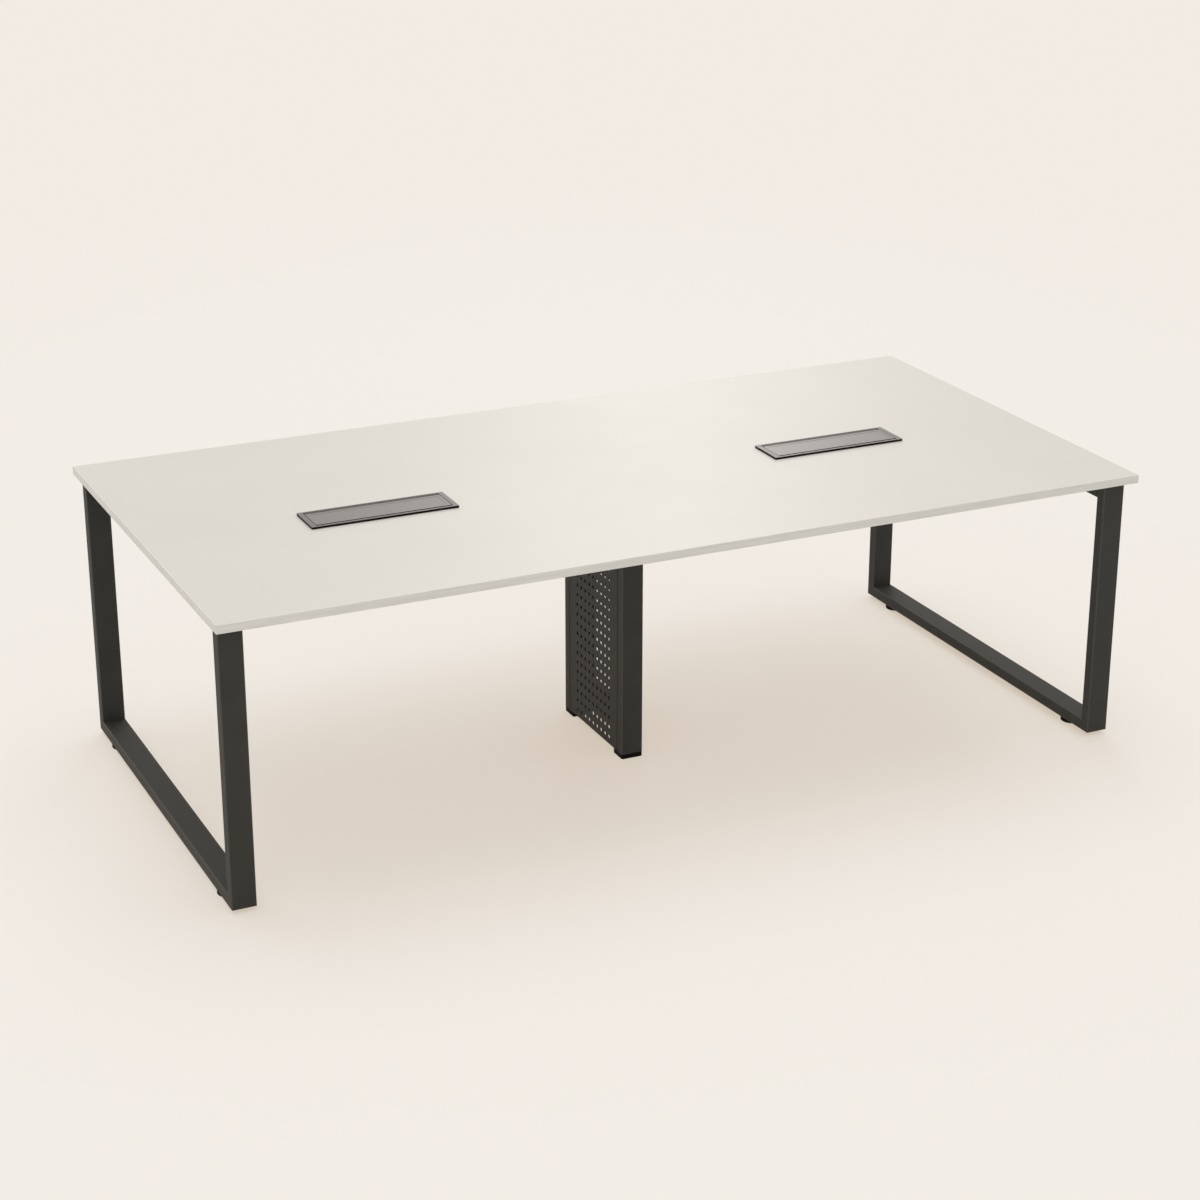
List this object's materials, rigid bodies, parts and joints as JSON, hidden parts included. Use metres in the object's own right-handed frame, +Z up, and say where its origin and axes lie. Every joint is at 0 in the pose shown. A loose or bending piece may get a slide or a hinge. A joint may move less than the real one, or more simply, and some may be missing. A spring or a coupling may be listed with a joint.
{
  "type": "conference table",
  "caption": "Rectangular conference table: laminated top on closed steel end frames, with a perforated cable column and flip-lid cable boxes.",
  "frame": {"origin": "on the floor, under the middle of the table top", "axes": "+X along the table's length, +Y across it from the front edge to the rear edge, +Z up"},
  "size_m": [2.4, 1.2, 0.726],
  "materials": {
    "laminate": "warm white melamine laminate on particle board, satin",
    "edging": "2 mm edge band in the colour of the top, satin",
    "powder_coat": "charcoal powder coat on steel, fine texture",
    "aluminium": "grey anodised, fine brushed",
    "black_plastic": "moulded nylon, matt",
    "bristle": "nylon bristles in a black strip",
    "zinc": "zinc plated steel"
  },
  "bodies": {
    "table": {"table_top": "laminate", "front_edge_band": "edging", "rear_edge_band": "edging", "left_edge_band": "edging", "right_edge_band": "edging", "left_frame_front_post": "powder_coat", "left_frame_rear_post": "powder_coat", "left_frame_top_rail": "powder_coat", "left_frame_bottom_rail": "powder_coat", "right_frame_front_post": "powder_coat", "right_frame_rear_post": "powder_coat", "right_frame_top_rail": "powder_coat", "right_frame_bottom_rail": "powder_coat", "left_front_glide_insert": "zinc", "left_rear_glide_insert": "zinc", "right_front_glide_insert": "zinc", "right_rear_glide_insert": "zinc", "front_beam": "powder_coat", "rear_beam": "powder_coat", "left_front_end_plate": "powder_coat", "right_front_end_plate": "powder_coat", "left_rear_end_plate": "powder_coat", "right_rear_end_plate": "powder_coat", "left_front_bolt": "zinc", "right_front_bolt": "zinc", "left_rear_bolt": "zinc", "right_rear_bolt": "zinc", "column_front_post": "powder_coat", "column_rear_post": "powder_coat", "column_left_panel": "powder_coat", "column_right_panel": "powder_coat", "column_front_cap_plate": "powder_coat", "column_rear_cap_plate": "powder_coat", "column_lower_tie": "powder_coat", "column_front_foot_cap": "black_plastic", "column_rear_foot_cap": "black_plastic", "left_box_bezel": "aluminium", "left_box_brush": "bristle", "left_box_tray": "powder_coat", "left_box_left_pin": "zinc", "left_box_right_pin": "zinc", "right_box_bezel": "aluminium", "right_box_brush": "bristle", "right_box_tray": "powder_coat", "right_box_left_pin": "zinc", "right_box_right_pin": "zinc"},
    "left_lid": {"left_box_lid": "aluminium"},
    "right_lid": {"right_box_lid": "aluminium"},
    "left_front_glide": {"left_front_glide_pad": "black_plastic"},
    "left_rear_glide": {"left_rear_glide_pad": "black_plastic"},
    "right_front_glide": {"right_front_glide_pad": "black_plastic"},
    "right_rear_glide": {"right_rear_glide_pad": "black_plastic"},
    "column_front_foot": {"column_front_foot_pad": "black_plastic"},
    "column_rear_foot": {"column_rear_foot_pad": "black_plastic"},
    "left_front_stem": {"left_front_glide_stem": "zinc"},
    "left_rear_stem": {"left_rear_glide_stem": "zinc"},
    "right_front_stem": {"right_front_glide_stem": "zinc"},
    "right_rear_stem": {"right_rear_glide_stem": "zinc"},
    "column_front_stem": {"column_front_foot_stem": "zinc"},
    "column_rear_stem": {"column_rear_foot_stem": "zinc"}
  },
  "joints": [
    {"name": "left_lid_hinge", "type": "hinge", "parent": "table", "child": "left_lid", "pos_m": [-0.622, -0.092, 0.721], "axis": [1, 0, 0], "range_deg": [0, 100]},
    {"name": "right_lid_hinge", "type": "hinge", "parent": "table", "child": "right_lid", "pos_m": [0.622, -0.092, 0.721], "axis": [1, 0, 0], "range_deg": [0, 100]},
    {"name": "left_front_level", "type": "slide", "parent": "table", "child": "left_front_glide", "axis": [0, 0, -1], "range_m": [0, 0.012]},
    {"name": "left_rear_level", "type": "slide", "parent": "table", "child": "left_rear_glide", "axis": [0, 0, -1], "range_m": [0, 0.012]},
    {"name": "right_front_level", "type": "slide", "parent": "table", "child": "right_front_glide", "axis": [0, 0, -1], "range_m": [0, 0.012]},
    {"name": "right_rear_level", "type": "slide", "parent": "table", "child": "right_rear_glide", "axis": [0, 0, -1], "range_m": [0, 0.012]},
    {"name": "column_front_level", "type": "slide", "parent": "table", "child": "column_front_foot", "axis": [0, 0, -1], "range_m": [0, 0.012]},
    {"name": "column_rear_level", "type": "slide", "parent": "table", "child": "column_rear_foot", "axis": [0, 0, -1], "range_m": [0, 0.012]},
    {"name": "left_front_screw", "type": "hinge", "parent": "left_front_glide", "child": "left_front_stem", "pos_m": [-1.158, -0.448, 0.01], "axis": [0, 0, -1], "range_deg": [0, 3460]},
    {"name": "left_rear_screw", "type": "hinge", "parent": "left_rear_glide", "child": "left_rear_stem", "pos_m": [-1.158, 0.448, 0.01], "axis": [0, 0, -1], "range_deg": [0, 3460]},
    {"name": "right_front_screw", "type": "hinge", "parent": "right_front_glide", "child": "right_front_stem", "pos_m": [1.158, -0.448, 0.01], "axis": [0, 0, -1], "range_deg": [0, 3460]},
    {"name": "right_rear_screw", "type": "hinge", "parent": "right_rear_glide", "child": "right_rear_stem", "pos_m": [1.158, 0.448, 0.01], "axis": [0, 0, -1], "range_deg": [0, 3460]},
    {"name": "column_front_screw", "type": "hinge", "parent": "column_front_foot", "child": "column_front_stem", "pos_m": [0, -0.149, 0.01], "axis": [0, 0, -1], "range_deg": [0, 3460]},
    {"name": "column_rear_screw", "type": "hinge", "parent": "column_rear_foot", "child": "column_rear_stem", "pos_m": [0, 0.149, 0.01], "axis": [0, 0, -1], "range_deg": [0, 3460]}
  ],
  "couplings": [
    {"joint": "left_front_screw", "follows": "left_front_level", "rad_per_m": 5026.5},
    {"joint": "left_rear_screw", "follows": "left_rear_level", "rad_per_m": 5026.5},
    {"joint": "right_front_screw", "follows": "right_front_level", "rad_per_m": 5026.5},
    {"joint": "right_rear_screw", "follows": "right_rear_level", "rad_per_m": 5026.5},
    {"joint": "column_front_screw", "follows": "column_front_level", "rad_per_m": 5026.5},
    {"joint": "column_rear_screw", "follows": "column_rear_level", "rad_per_m": 5026.5}
  ]
}
